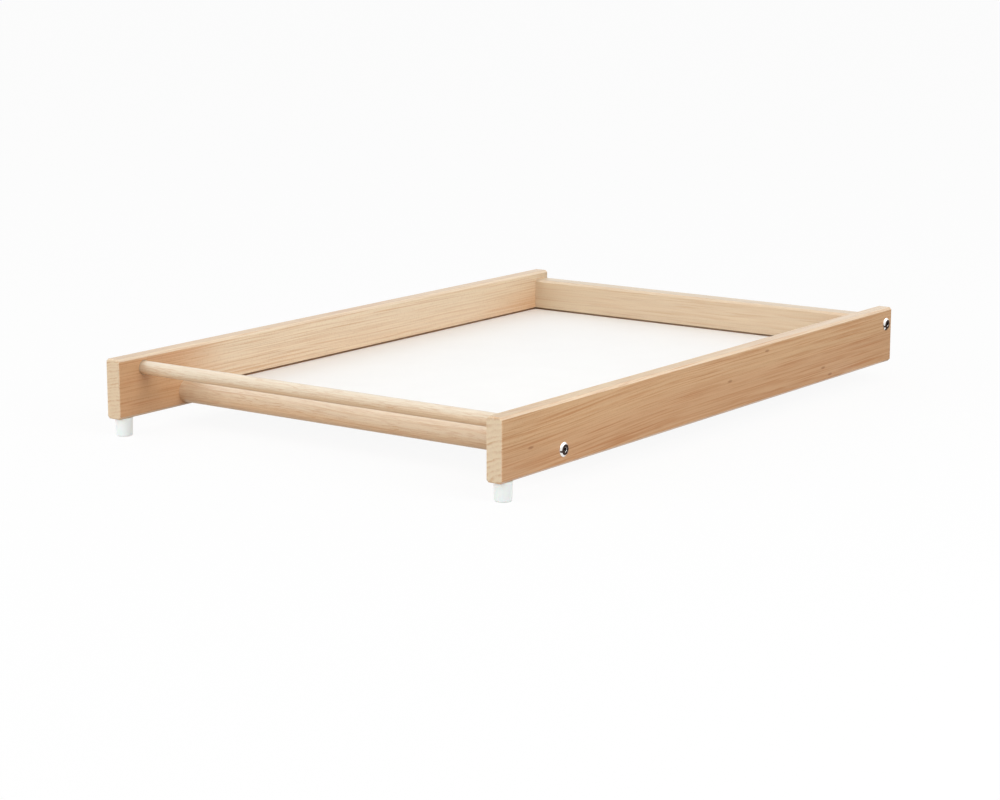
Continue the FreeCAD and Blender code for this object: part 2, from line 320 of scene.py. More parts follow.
class Nodes:
    """A node tree, with short calls that add a node and return its output."""

    def __init__(self, tree):
        self.tree = tree

    def feed(self, socket, value):
        """Links an output to a socket, or sets the socket's own value."""
        if isinstance(value, bpy.types.NodeSocket):
            self.tree.links.new(value, socket)
        elif socket.type == "RGBA":
            socket.default_value = (*value, 1.0)
        else:
            socket.default_value = value

    def node(self, kind, inputs, output=0, **settings):
        """Adds a node with its settings and inputs."""
        made = self.tree.nodes.new("ShaderNode" + kind)
        for key, value in settings.items():
            setattr(made, key, value)
        for key, value in inputs.items():
            self.feed(made.inputs[key], value)
        return made.outputs[output]

    def math(self, operation, *values):
        """One step of arithmetic on numbers."""
        return self.node("Math", dict(enumerate(values)), operation=operation)

    def times(self, first, *others):
        """The product of some numbers."""
        for other in others:
            first = self.math("MULTIPLY", first, other)
        return first

    def range(self, value, low, high, to_low=0.0, to_high=1.0):
        """A number that goes smoothly from to_low to to_high as a value goes from low to high."""
        inputs = {"Value": value, "From Min": low, "From Max": high, "To Min": to_low, "To Max": to_high}
        return self.node("MapRange", inputs, interpolation_type="SMOOTHSTEP")

    def fade(self, value, low, high):
        """A number that goes smoothly from 1 to 0 as a value goes from low to high."""
        return self.range(value, low, high, 1.0, 0.0)

    def part(self, place, axis):
        """One of a vector's three numbers."""
        return self.node("SeparateXYZ", {0: place}, axis)

    def surface(self, shader):
        """Sends a shader to the surface of a material that has no output yet."""
        self.feed(self.tree.nodes.new("ShaderNodeOutputMaterial").inputs["Surface"], shader)


class Sheet(Nodes):
    """The node tree of a new material, drawn in millimetres on the piece's own coordinates."""

    def __init__(self, name):
        self.material = bpy.data.materials.new(name)
        self.material.use_nodes = True
        super().__init__(self.material.node_tree)
        self.shader = self.tree.nodes["Principled BSDF"]
        self.coordinates = self.tree.nodes.new("ShaderNodeTexCoord")

    def finish(self, **inputs):
        """Sets the shader's inputs, given by name with _ for a space, and returns the material."""
        for key, value in inputs.items():
            self.feed(self.shader.inputs[key.replace("_", " ")], value)
        return self.material

    def vector(self, operation, *values, output=0):
        """One step of arithmetic on vectors."""
        return self.node("VectorMath", dict(enumerate(values)), output, operation=operation)

    def reach(self, place, axes):
        """The length of a vector, counted on some axes only."""
        return self.vector("LENGTH", self.vector("MULTIPLY", place, axes), output="Value")

    def blend(self, amount, first, second):
        """A colour between two others."""
        return self.node("Mix", {0: amount, 6: first, 7: second}, output=2, data_type="RGBA")

    def shade(self, base, amount):
        """A colour made lighter or darker by a factor."""
        return self.node("VectorMath", {0: base, "Scale": amount}, operation="SCALE")

    def tint(self, base, amount, tint):
        """A colour partly multiplied by a tint."""
        return self.blend(amount, base, self.vector("MULTIPLY", base, tint))

    def mottled(self, base, noise, darkest, lightest=1.0):
        """A colour shaded by a soft noise."""
        return self.shade(base, self.range(noise, *NOISE_SPREAD, darkest, lightest))

    def uneven(self, middle, noise, spread):
        """A number that a noise from 0 to 1 moves round its middle value."""
        return self.math("MULTIPLY_ADD", noise, spread, middle - spread / 2)

    def placed(self, location=(0, 0, 0), rotation=(0, 0, 0)):
        """The piece's own coordinates in millimetres, turned and then moved."""
        inputs = {
            "Vector": self.coordinates.outputs["Object"],
            "Location": location,
            "Rotation": rotation,
            "Scale": (1 / MM,) * 3,
        }
        return self.node("Mapping", inputs)

    def stretched(self, place, cell):
        """A place counted in cells."""
        return self.vector("MULTIPLY", place, tuple(1 / side for side in cell))

    def noise(self, place, cell, detail, output="Fac"):
        """Soft noise whose lumps are about as long as cell says."""
        inputs = {"Vector": self.stretched(place, cell), "Scale": 1.0, "Detail": detail, "Roughness": 0.55}
        return self.node("TexNoise", inputs, output)

    def pattern(self, name, place, output="Fac"):
        """One of the noises in NOISES."""
        return self.noise(place, *NOISES[name], output)

    def bands(self, distance, scale, detail):
        """Soft noise along one distance, with about so many bands to a millimetre."""
        inputs = {"W": distance, "Scale": scale, "Detail": detail}
        return self.node("TexNoise", inputs, noise_dimensions="1D")

    def bump(self, height, strength, distance=0.05 * MM):
        """A normal bent by a height."""
        return self.node("Bump", {"Strength": strength, "Distance": distance, "Height": height})

    def towards(self, axis):
        """How far the surface faces along an axis, from -1 to 1."""
        return self.vector("DOT_PRODUCT", self.coordinates.outputs["Normal"], axis, output="Value")

    def facing(self, axis):
        """How far the surface faces along an axis, either way, from 0 to 1."""
        return self.math("ABSOLUTE", self.towards(axis))


def wood_place(sheet, node, cut):
    """Millimetres from the pith across the grain, and along it in the third place."""
    low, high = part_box(node)
    pith = (low + high) / 2
    sideways, up = cut.pith
    pith += MM * Vector((sideways, 0, up) if cut.grain == "Y" else (0, sideways, up))
    lean = Euler([math.radians(angle) for angle in cut.lean] + [0.0]).to_matrix()
    turn = lean @ GRAIN_TURN[cut.grain].to_matrix()
    moved = -(turn @ pith) / MM
    moved.z += cut.along
    place = sheet.placed(moved, turn.to_euler())
    if cut.climb:
        along = sheet.part(place, "Z")
        start = cut.along + (low.y - pith.y) / MM
        rise = sheet.range(along, start, start + CLIMB_STRETCH, 0.0, cut.climb)
        place = sheet.vector("ADD", place, sheet.node("CombineXYZ", {"Y": rise}))
    return place


def growth_rings(sheet, place, radius, ring_width):
    """How dark the growth rings are at a place."""
    waver = sheet.times(sheet.pattern("ring_waver", place), RING_WAVER)
    swell = sheet.times(sheet.bands(radius, 1 / SWELL_LENGTH, detail=1.0), RING_SWELL)
    even = sheet.math("MULTIPLY_ADD", radius, 1 / ring_width, swell)
    count = sheet.math("ADD", even, waver)
    along = sheet.math("FRACT", count)
    rise = sheet.range(along, *RING_DARKENS)
    fall = sheet.fade(along, *RING_PALES)
    own = sheet.node("TexWhiteNoise", {"W": sheet.math("FLOOR", count)}, noise_dimensions="1D")
    strength = sheet.range(own, 0.0, 1.0, FAINTEST_RING, 1.0)
    patches = sheet.range(sheet.pattern("ring_patches", place), *PATCH_SPREAD, FAINTEST_PATCH, 1.0)
    return sheet.times(rise, fall, strength, patches)


def grain_dashes(sheet, place, dash):
    """Short dark dashes that run nearly along the grain, darker in some stretches than in others."""
    thick = dash.thickness
    slant = sheet.times(sheet.part(place, "Z"), dash.slope)
    slanted = sheet.vector("ADD", place, sheet.node("CombineXYZ", {"Y": slant}))
    dark = sheet.range(sheet.noise(slanted, (thick, thick, dash.length), detail=1.5), *DASH_SPREAD)
    cell = (CROWD_WIDTH * thick, CROWD_WIDTH * thick, min(CROWD_LENGTH * dash.length, LONGEST_CROWD))
    crowds = sheet.noise(slanted, cell, detail=2.0)
    depth = sheet.range(crowds, *CROWD_SPREAD, FAINTEST_CROWD * dash.depth, dash.depth)
    return sheet.times(dark, depth)


def rays(sheet, place, radius):
    """The rays of beech: thin upright sheets that point at the pith."""
    angle = sheet.math("ARCTAN2", sheet.part(place, "Y"), sheet.part(place, "X"))
    inputs = {"X": radius, "Y": sheet.times(angle, RAY_RADIUS), "Z": sheet.part(place, "Z")}
    unrolled = sheet.stretched(sheet.node("CombineXYZ", inputs), RAY_CELL)
    near = sheet.node("TexVoronoi", {"Vector": unrolled, "Scale": 1.0}, "Distance")
    return sheet.fade(near, *RAY_FADE)


def eased_edges(sheet):
    """Where a board's surface turns away from all three of its faces."""
    largest = sheet.math("MAXIMUM", sheet.facing(ACROSS), sheet.facing(BACK))
    largest = sheet.math("MAXIMUM", largest, sheet.facing(UP))
    return sheet.fade(largest, *OFF_EDGE)


def dark_flecks(sheet, node):
    """Where the few dark flecks of the right board's outer face lie."""
    low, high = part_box(node)
    nearest = None
    for from_front, above in DARK_FLECKS:
        middle = Vector((high.x, low.y + from_front * MM, low.z + above * MM)) / MM
        off = sheet.stretched(sheet.placed(-middle), FLECK_REACH)
        distance = sheet.vector("LENGTH", off, output="Value")
        nearest = sheet.math("MINIMUM", nearest, distance) if nearest else distance
    return sheet.fade(nearest, *FLECK_FADE)


def from_corner(sheet, node, axis):
    """Millimetres along an axis from a node's lowest corner."""
    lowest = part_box(node)[0]
    return sheet.part(sheet.placed(-lowest / MM), axis)


def painted_side_shade(sheet, node, tan):
    """Painted shade on the right board's wide faces, or the left one's inner face, and on the top."""
    from_front = from_corner(sheet, node, "Y")
    wide = sheet.fade(from_front, tan.start, tan.stop)
    low_down = sheet.range(from_front, *LOW_SHADE_STRETCH, tan.low_front, tan.low_rear)
    foot = sheet.fade(from_corner(sheet, node, "Z"), *LOW_SHADE_HEIGHT)
    foot = sheet.times(foot, low_down)
    wide = sheet.math("MAXIMUM", wide, foot)
    faces = sheet.towards if node == "left_side_board" else sheet.facing
    wide = sheet.times(wide, sheet.range(faces(ACROSS), *ON_FACE))
    top = sheet.range(from_front, *TOP_SHADE_STRETCH, TOP_SHADE_FRONT, tan.top_rear)
    return wide, sheet.times(top, sheet.range(sheet.facing(UP), *ON_FACE))


def painted_low_shade(sheet, node):
    """How much painted shade the back board has low down, near the panel, away from its left end."""
    from_left = sheet.range(from_corner(sheet, node, "X"), *BACK_LOW_STRETCH)
    low_down = sheet.fade(from_corner(sheet, node, "Z"), *BACK_LOW_HEIGHT)
    return sheet.times(from_left, low_down)


def front_shade(sheet, node, settings):
    """How light a side board is along its length: darker near the front."""
    from_front = from_corner(sheet, node, "Y")
    return sheet.range(from_front, *FRONT_SHADE_STRETCH, 1 - settings.front_shade, 1.0)


def beech(node, pale, settings):
    """Lacquered beech that runs through the piece as solid wood does, cut as CUTS says."""
    cut = CUTS[node]
    side = "left" if node.startswith("left") else "right"
    is_rail = node.endswith("rail")
    sheet = Sheet("beech_" + node)
    place = wood_place(sheet, node, cut)
    sway = sheet.vector("SUBTRACT", sheet.pattern("wood_sway", place, "Color"), (0.5, 0.5, 0.5))
    sway = sheet.vector("MULTIPLY", sway, SIDE_BOARD_SWAY if cut.tan else OTHER_SWAY)
    bent = sheet.vector("ADD", place, sway)
    radius = sheet.reach(bent, (1, 1, 0))
    rings = growth_rings(sheet, bent, radius, cut.ring_width)
    blur, soft = RAIL_SHADE_EDGE if is_rail else OTHER_HEART_EDGE
    edge = cut.heart + blur / 2
    clouded = sheet.math("MULTIPLY_ADD", sheet.pattern("wood_clouds", bent), blur, radius)
    warmth = sheet.times(sheet.fade(clouded, edge - soft, edge + soft), cut.warmth)
    streaks = sheet.pattern("wood_streaks", bent)
    fibres = sheet.pattern("wood_fibres", bent)
    dashes = grain_dashes(sheet, bent, cut.dash)
    ends = sheet.range(sheet.facing(GRAIN_AXIS[cut.grain]), *ON_END)

    # In the rails this warmer wood is painted shade on their undersides.
    wood = sheet.tint(pale, warmth, settings.rail_low_shade if is_rail else settings.warm_tint)
    # Painted shade on the side boards: darker, warmer faces and tops, and darker front ends.
    if cut.tan:
        wide, top = painted_side_shade(sheet, node, cut.tan)
        wood = sheet.tint(wood, wide, getattr(settings, side + "_tan"))
        wood = sheet.tint(wood, top, getattr(settings, side + "_top"))
        wood = sheet.shade(wood, front_shade(sheet, node, settings))
    # Painted shade low down on the back board, near the panel.
    if node == "back_board":
        wood = sheet.tint(wood, painted_low_shade(sheet, node), settings.back_low)
    dark_rings = sheet.times(rings, settings.ring_depth * cut.ring_share)
    wood = sheet.tint(wood, sheet.math("MAXIMUM", dark_rings, dashes), settings.ring_tint)
    sawn = sheet.tint(getattr(settings, side + "_end"), rings, settings.ring_tint)
    wood = sheet.blend(ends, wood, sawn)
    specks = sheet.times(rays(sheet, bent, radius), settings.ray_depth)
    if node == "right_side_board":
        # Painted highlight on the eased edges.
        wood = sheet.shade(wood, sheet.math("MULTIPLY_ADD", eased_edges(sheet), settings.edge_highlight, 1.0))
        flecks = sheet.times(dark_flecks(sheet, node), FLECK_DEPTH)
        specks = sheet.math("MAXIMUM", specks, flecks)
    wood = sheet.tint(wood, specks, settings.fleck_tint)
    thin_lines = sheet.times(fibres, 1 - STREAK_SHARE)
    lines = sheet.math("MULTIPLY_ADD", streaks, STREAK_SHARE, thin_lines)
    wood = sheet.shade(wood, sheet.uneven(1.0, lines, settings.streak_depth))

    satin = sheet.uneven(settings.lacquer_roughness, streaks, spread=0.10)
    relief = sheet.math("MULTIPLY_ADD", dashes, -DASH_DIP, fibres)
    return sheet.finish(
        Base_Color=wood,
        Roughness=sheet.math("MULTIPLY_ADD", ends, END_DULLNESS, satin),
        Normal=sheet.bump(relief, strength=0.10),
        Coat_Weight=0.06,
        Coat_Roughness=0.15,
    )


def white_panel(settings):
    """White film on a pressed fibre core, with painted shade on the edges that lie in the grooves."""
    low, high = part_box("changing_panel")
    half = (high - low) / 2 / MM
    sheet = Sheet("white_film_panel")
    place = sheet.placed(-(low + high) / 2 / MM)
    across, back = (sheet.math("ABSOLUTE", sheet.part(place, axis)) for axis in "XY")
    from_side = sheet.math("SUBTRACT", half.x, across)
    inset = sheet.math("MINIMUM", from_side, sheet.math("SUBTRACT", half.y, back))
    # Painted shade on the edges that lie in the grooves.
    width = settings.edge_width / MM
    in_groove_shade = sheet.fade(inset, width - GROOVE_SHADE_BLUR, width + GROOVE_SHADE_BLUR)
    peel = sheet.pattern("film_peel", place)
    film = sheet.mottled(settings.film_colour, sheet.pattern("film_clouds", place), darkest=0.985)
    film = sheet.blend(in_groove_shade, film, settings.groove_shade_colour)
    fibres = sheet.pattern("core_fibres", place)
    core = sheet.mottled(settings.core_colour, fibres, darkest=0.7, lightest=1.15)
    flat = sheet.range(sheet.facing(UP), *ON_FILM)
    satin = sheet.uneven(settings.film_roughness, peel, spread=0.08)
    return sheet.finish(
        Base_Color=sheet.blend(flat, core, film),
        Roughness=sheet.math("ADD", satin, sheet.range(flat, 0.0, 1.0, CORE_ROUGHER, 0.0)),
        Normal=sheet.bump(peel, strength=0.04),
    )


def white_plastic(settings):
    """Moulded plastic with a fine matt texture."""
    sheet = Sheet("moulded_white_plastic")
    place = sheet.placed()
    grain = sheet.pattern("plastic_grain", place)
    flow = sheet.pattern("plastic_flow", place)
    return sheet.finish(
        Base_Color=sheet.mottled(settings.peg_colour, flow, darkest=0.975),
        Roughness=sheet.uneven(0.38, grain, spread=0.16),
        Normal=sheet.bump(grain, strength=0.06),
        Subsurface_Weight=0.12,
        Subsurface_Scale=1.5 * MM,
    )


def polished_steel(end, settings):
    """Bright plated steel with fine turning marks round the bolts' axis, dark in the socket."""
    low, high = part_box(end + "_right_bolt")
    centre = (low + high) / 2 / MM
    sheet = Sheet("polished_steel_" + end)
    place = sheet.placed((0, -centre.y, -centre.z))
    radius = sheet.reach(place, (0, 1, 1))
    marks = sheet.bands(radius, TURNING_MARKS, detail=3.0)
    smears = sheet.pattern("steel_smears", place)
    steel = sheet.mottled(settings.steel_colour, smears, darkest=0.94)
    socket = settings.bolt_socket_width / 2 / MM
    start, stop = (socket + outside for outside in SOCKET_SHADE_EDGE)
    return sheet.finish(
        Base_Color=sheet.shade(steel, sheet.range(radius, start, stop, SOCKET_SHADE, 1.0)),
        Roughness=sheet.uneven(0.06, smears, spread=0.06),
        Normal=sheet.bump(marks, strength=0.05, distance=0.02 * MM),
        Metallic=1.0,
    )


def zinc_steel(settings):
    """Zinc-plated steel, dull and faintly mottled."""
    sheet = Sheet("zinc_plated_steel")
    spangle = sheet.pattern("zinc_spangle", sheet.placed())
    return sheet.finish(
        Base_Color=sheet.mottled(settings.zinc_colour, spangle, darkest=0.85),
        Roughness=sheet.range(spangle, low=0.2, high=0.8, to_low=0.28, to_high=0.45),
        Normal=sheet.bump(spangle, strength=0.05),
        Metallic=1.0,
    )


def paint(node, material):
    """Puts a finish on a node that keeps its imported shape."""
    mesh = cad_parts[node].data
    for index in range(len(mesh.materials)):
        mesh.materials[index] = material


def paint_beech(context, node, pale):
    """Puts beech on a node, in one of the pale colours of the settings."""
    settings = context.scene.changer_beech
    paint(node, beech(node, getattr(settings, pale), settings))


# Lengths on a fastener that differ by less than this count as the same.
NEAR = 0.01 * MM
# Faces round a bolt or a screw.
TURN_STEPS = 48


def turned(profile, steps):
    """A turned shape about the Z axis, from its (radius, height) points."""
    shape = bmesh.new()
    points = [shape.verts.new((radius, 0.0, height)) for radius, height in profile]
    edges = [shape.edges.new(pair) for pair in zip(points, points[1:])]
    bmesh.ops.spin(shape, geom=points + edges, axis=UP, angle=TURN, steps=steps, use_merge=True)
    bmesh.ops.remove_doubles(shape, verts=shape.verts, dist=0.001 * MM)
    bmesh.ops.recalc_face_normals(shape, faces=shape.faces)
    return shape


def reshape(shape, low, high, reach):
    """Gives a turned shape, between two heights, the radius that reach(angle, radius, height) says."""
    for vertex in shape.verts:
        radius = math.hypot(vertex.co.x, vertex.co.y)
        if radius > NEAR and low <= vertex.co.z <= high:
            factor = reach(math.atan2(vertex.co.y, vertex.co.x), radius, vertex.co.z) / radius
            vertex.co.x *= factor
            vertex.co.y *= factor


def stations(low, high, step):
    """Heights from low to high, about one step apart."""
    count = max(1, round((high - low) / step))
    return [low + (high - low) * index / count for index in range(count + 1)]


def thread(low, high, pitch, depth):
    """The reach of a screw thread that fades out within one pitch of both ends."""

    def reach(angle, radius, height):
        wave = abs(2 * ((height / pitch - angle / TURN) % 1.0) - 1)
        fade = min(1.0, (height - low) / pitch, (high - height) / pitch)
        return radius - depth * wave * max(0.0, fade)

    return reach


def built(shape, name, material):
    """Makes an object of a shape and puts it in the scene."""
    mesh = bpy.data.meshes.new(name)
    shape.to_mesh(mesh)
    shape.free()
    mesh.materials.append(material)
    made = bpy.data.objects.new(name, mesh)
    bpy.context.scene.collection.objects.link(made)
    return made


def piece(shape, name, material, node, place):
    """Makes a finished object of a shape, in its place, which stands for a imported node."""
    bmesh.ops.transform(shape, matrix=place, verts=shape.verts)
    bmesh.ops.recalc_face_normals(shape, faces=shape.faces)
    made = built(shape, name, material)
    made.data.shade_smooth()
    made.data.set_sharp_from_angle(angle=math.radians(35))
    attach(made, BODY)
    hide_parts(node)


class CHANGER_OT_side_boards(bpy.types.Operator):
    """Give both side boards their beech"""

    bl_idname = "changer.side_boards"
    bl_label = "Side boards"

    def execute(self, context):
        for side in SIDES:
            paint_beech(context, side + "_side_board", side + "_board")
        return {"FINISHED"}


class CHANGER_OT_back_board(bpy.types.Operator):
    """Give the back board its beech"""

    bl_idname = "changer.back_board"
    bl_label = "Back board"

    def execute(self, context):
        paint_beech(context, "back_board", "back_board")
        return {"FINISHED"}


class CHANGER_OT_front_rails(bpy.types.Operator):
    """Give both round rails their beech"""

    bl_idname = "changer.front_rails"
    bl_label = "Front rails"

    def execute(self, context):
        for level in LEVELS:
            paint_beech(context, level + "_front_rail", level + "_rail")
        return {"FINISHED"}


class CHANGER_OT_panel(bpy.types.Operator):
    """Give the changing panel its white film"""

    bl_idname = "changer.panel"
    bl_label = "Changing panel"

    def execute(self, context):
        paint("changing_panel", white_panel(context.scene.changer_panel))
        return {"FINISHED"}


class CHANGER_OT_pegs(bpy.types.Operator):
    """Give both pegs under the front ends their plastic"""

    bl_idname = "changer.pegs"
    bl_label = "Pegs"

    def execute(self, context):
        plastic = white_plastic(context.scene.changer_fittings)
        for side in SIDES:
            paint(side + "_foot", plastic)
        return {"FINISHED"}


BOLT_TIP_CHAMFER = 0.8 * MM
BOLT_THREAD_STEPS = 6
# Shares of the pitch and of the socket's half width.
BOLT_THREAD_DEPTH = 0.6
SOCKET_CONE = 1 / 3
SOCKET_LIP = 0.3 * MM
HEXAGON_SIDE = TURN / 6
# The edges of a bolt's head that bend by more than this are rounded.
RIDGE = math.radians(20)


class CHANGER_OT_bolts(bpy.types.Operator):
    """Make the four connector bolts, with softened heads, hexagon sockets and threads"""

    bl_idname = "changer.bolts"
    bl_label = "Bolts"

    def bolt(self, settings, low, high):
        """A bolt along Z, its head's seat at 0 and its face up."""
        head = settings.bolt_head_height
        rim = (high.y - low.y) / 2
        face = settings.bolt_face_diameter / 2
        shank = settings.bolt_shank_diameter / 2
        pitch = settings.bolt_pitch
        tip = head - (high.x - low.x)
        start = tip + BOLT_TIP_CHAMFER
        stop = tip + settings.bolt_thread_length
        socket = settings.bolt_socket_width / 2
        lip = socket + SOCKET_LIP
        floor = head - settings.bolt_socket_depth
        profile = [(0, floor - SOCKET_CONE * socket), (socket, floor), (socket, head - SOCKET_LIP)]
        profile += [(lip, head), (face, head), (rim, settings.bolt_rim_height), (rim, 0), (shank, 0)]
        heights = stations(start, stop, pitch / BOLT_THREAD_STEPS)
        profile += [(shank, height) for height in reversed(heights)]
        profile += [(shank - BOLT_TIP_CHAMFER, tip), (0, tip)]
        shape = turned(profile, TURN_STEPS)

        def hexagon(angle, radius, height):
            if radius > lip + NEAR:
                return radius
            return radius / math.cos(angle % HEXAGON_SIDE - HEXAGON_SIDE / 2)

        reshape(shape, floor - NEAR, head + NEAR, hexagon)
        reshape(shape, start, stop, thread(start, stop, pitch, BOLT_THREAD_DEPTH * pitch))
        ridges = [
            edge for edge in shape.edges
            if min(point.co.z for point in edge.verts) > -NEAR
            and min(point.co.xy.length for point in edge.verts) > face - NEAR
            and edge.calc_face_angle(0.0) > RIDGE
        ]
        bmesh.ops.bevel(
            shape, geom=ridges, offset=settings.bolt_edge_round, affect="EDGES", segments=3, profile=0.5,
            material=-1,
        )
        return shape

    def execute(self, context):
        settings = context.scene.changer_fittings
        for end in ENDS:
            steel = polished_steel(end, settings)
            for side in SIDES:
                node = "%s_%s_bolt" % (end, side)
                low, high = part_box(node)
                way = 1 if side == "right" else -1
                centre = (low + high) / 2
                seat = (high.x if way > 0 else low.x) - way * settings.bolt_head_height
                turn = Matrix.Rotation(QUARTER * way, 4, "Y")
                place = Matrix.Translation((seat, centre.y, centre.z)) @ turn
                shape = self.bolt(settings, low, high)
                piece(shape, node + "_turned", steel, node, place)
        return {"FINISHED"}


# The cross recess of a peg screw: its radius, half the width of an arm, its depth, and its outline from
# the middle out, as shares of the radius and depths below the head's face.
RECESS_RADIUS = 2.2 * MM
RECESS_ARM = 0.5 * MM
RECESS_DEPTH = 1.6 * MM
RECESS_OUTLINE = ((0.0, RECESS_DEPTH), (0.6, 1.3 * MM), (1.0, 0.0))
# The outline of the head from the edge of its flat face, as shares of its radius and its height.
SCREW_HEAD_OUTLINE = ((0.62, 0.0), (0.90, 0.30), (1.0, 0.62), (1.0, 1.0))
SCREW_PLAIN_SHANK = 2 * MM
SCREW_THREAD_DEPTH = 0.6 * MM
SCREW_THREAD_STEPS = 8


class CHANGER_OT_peg_screws(bpy.types.Operator):
    """Make the two peg screws, with cross recesses and coarse threads"""

    bl_idname = "changer.peg_screws"
    bl_label = "Peg screws"

    def cross(self, angle, radius, height):
        """The radius of the cross recess within its rim, and of the head outside it."""
        if radius > RECESS_RADIUS + NEAR:
            return radius
        off = abs((angle + QUARTER / 2) % QUARTER - QUARTER / 2)
        return RECESS_ARM / max(math.sin(off), RECESS_ARM / radius)

    def screw(self, settings, low, high):
        """A screw along Z, pointing up, with the face of its head at 0."""
        head = settings.screw_head_height
        head_radius = (high.x - low.x) / 2
        shank = settings.screw_shank_diameter / 2
        pitch = settings.screw_pitch
        full = high.z - low.z
        taper = full - settings.screw_tip
        start = head + SCREW_PLAIN_SHANK
        profile = [(across * RECESS_RADIUS, depth) for across, depth in RECESS_OUTLINE]
        profile += [(across * head_radius, up * head) for across, up in SCREW_HEAD_OUTLINE]
        profile += [(shank, head)]
        profile += [(shank, height) for height in stations(start, taper, pitch / SCREW_THREAD_STEPS)]
        profile += [(shank / 2, taper + settings.screw_tip / 2), (0, full)]
        shape = turned(profile, TURN_STEPS)
        reshape(shape, -NEAR, RECESS_DEPTH, self.cross)
        reshape(shape, start, taper, thread(start, taper + pitch, pitch, SCREW_THREAD_DEPTH))
        return shape

    def execute(self, context):
        settings = context.scene.changer_fittings
        zinc = zinc_steel(settings)
        for side in SIDES:
            node = side + "_foot_screw"
            low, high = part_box(node)
            centre = (low + high) / 2
            place = Matrix.Translation((centre.x, centre.y, low.z))
            piece(self.screw(settings, low, high), node + "_threaded", zinc, node, place)
        return {"FINISHED"}


class CHANGER_OT_barrel_nuts(bpy.types.Operator):
    """Give the four barrel nuts their zinc"""

    bl_idname = "changer.barrel_nuts"
    bl_label = "Barrel nuts"

    def execute(self, context):
        zinc = zinc_steel(context.scene.changer_fittings)
        for end in ENDS:
            for side in SIDES:
                paint("%s_%s_barrel_nut" % (end, side), zinc)
        return {"FINISHED"}


# Faces to each flute of a dowel pin.
FLUTE_STEPS = 6


class CHANGER_OT_dowel_pins(bpy.types.Operator):
    """Make the two fluted dowel pins of the back board"""

    bl_idname = "changer.dowel_pins"
    bl_label = "Dowel pins"

    def pin(self, settings, low, high):
        """A fluted pin along Z, with its middle at 0."""
        half = (high.x - low.x) / 2
        radius = (high.z - low.z) / 2
        chamfer = settings.pin_chamfer
        body = half - chamfer
        profile = [(0, -half), (radius - chamfer, -half), (radius, -body), (radius, body)]
        profile += [(radius - chamfer, half), (0, half)]
        shape = turned(profile, settings.pin_flutes * FLUTE_STEPS)

        def fluted(angle, reach, height):
            return reach - settings.pin_flute_depth * (1 + math.cos(settings.pin_flutes * angle)) / 2

        reshape(shape, -body, body, fluted)
        return shape

    def execute(self, context):
        settings = context.scene.changer_fittings
        wood = context.scene.changer_beech
        for side in SIDES:
            node = side + "_dowel_pin"
            low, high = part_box(node)
            place = Matrix.Translation((low + high) / 2) @ Matrix.Rotation(QUARTER, 4, "Y")
            beech_pin = beech(node, wood.upper_rail, wood)
            shape = self.pin(settings, low, high)
            piece(shape, node + "_fluted", beech_pin, node, place)
        return {"FINISHED"}


FLOOR_WHITE = (0.96, 0.96, 0.96)
# The dark cards on the floor beside and behind the changer, each by two corners. The gaps between those
# at the right show as bright stretches on the bolts' rims.
SIDE_CARDS = {
    "right_notch": ((0.305, -0.365), (0.385, -0.28)),
    "right_front": ((0.28, -0.28), (0.75, 0.30)),
    "right_near": ((0.28, 0.30), (0.43, 0.378)),
    "right_rear": ((0.335, 0.36), (0.75, 0.415)),
    "right_far": ((0.28, 0.415), (0.75, 1.20)),
    "left": ((-0.75, -0.28), (-0.28, 1.20)),
    "rear": ((-0.28, 0.42), (0.28, 1.20)),
}
FRONT_CARD = ((-0.40, -0.47), (0.25, -0.10))
CARD_HEIGHT = 2 * MM
# How steeply a ray has to point up, from 0 to 1, to meet the brighter sky.
OVERHEAD = (0.30, 0.80)


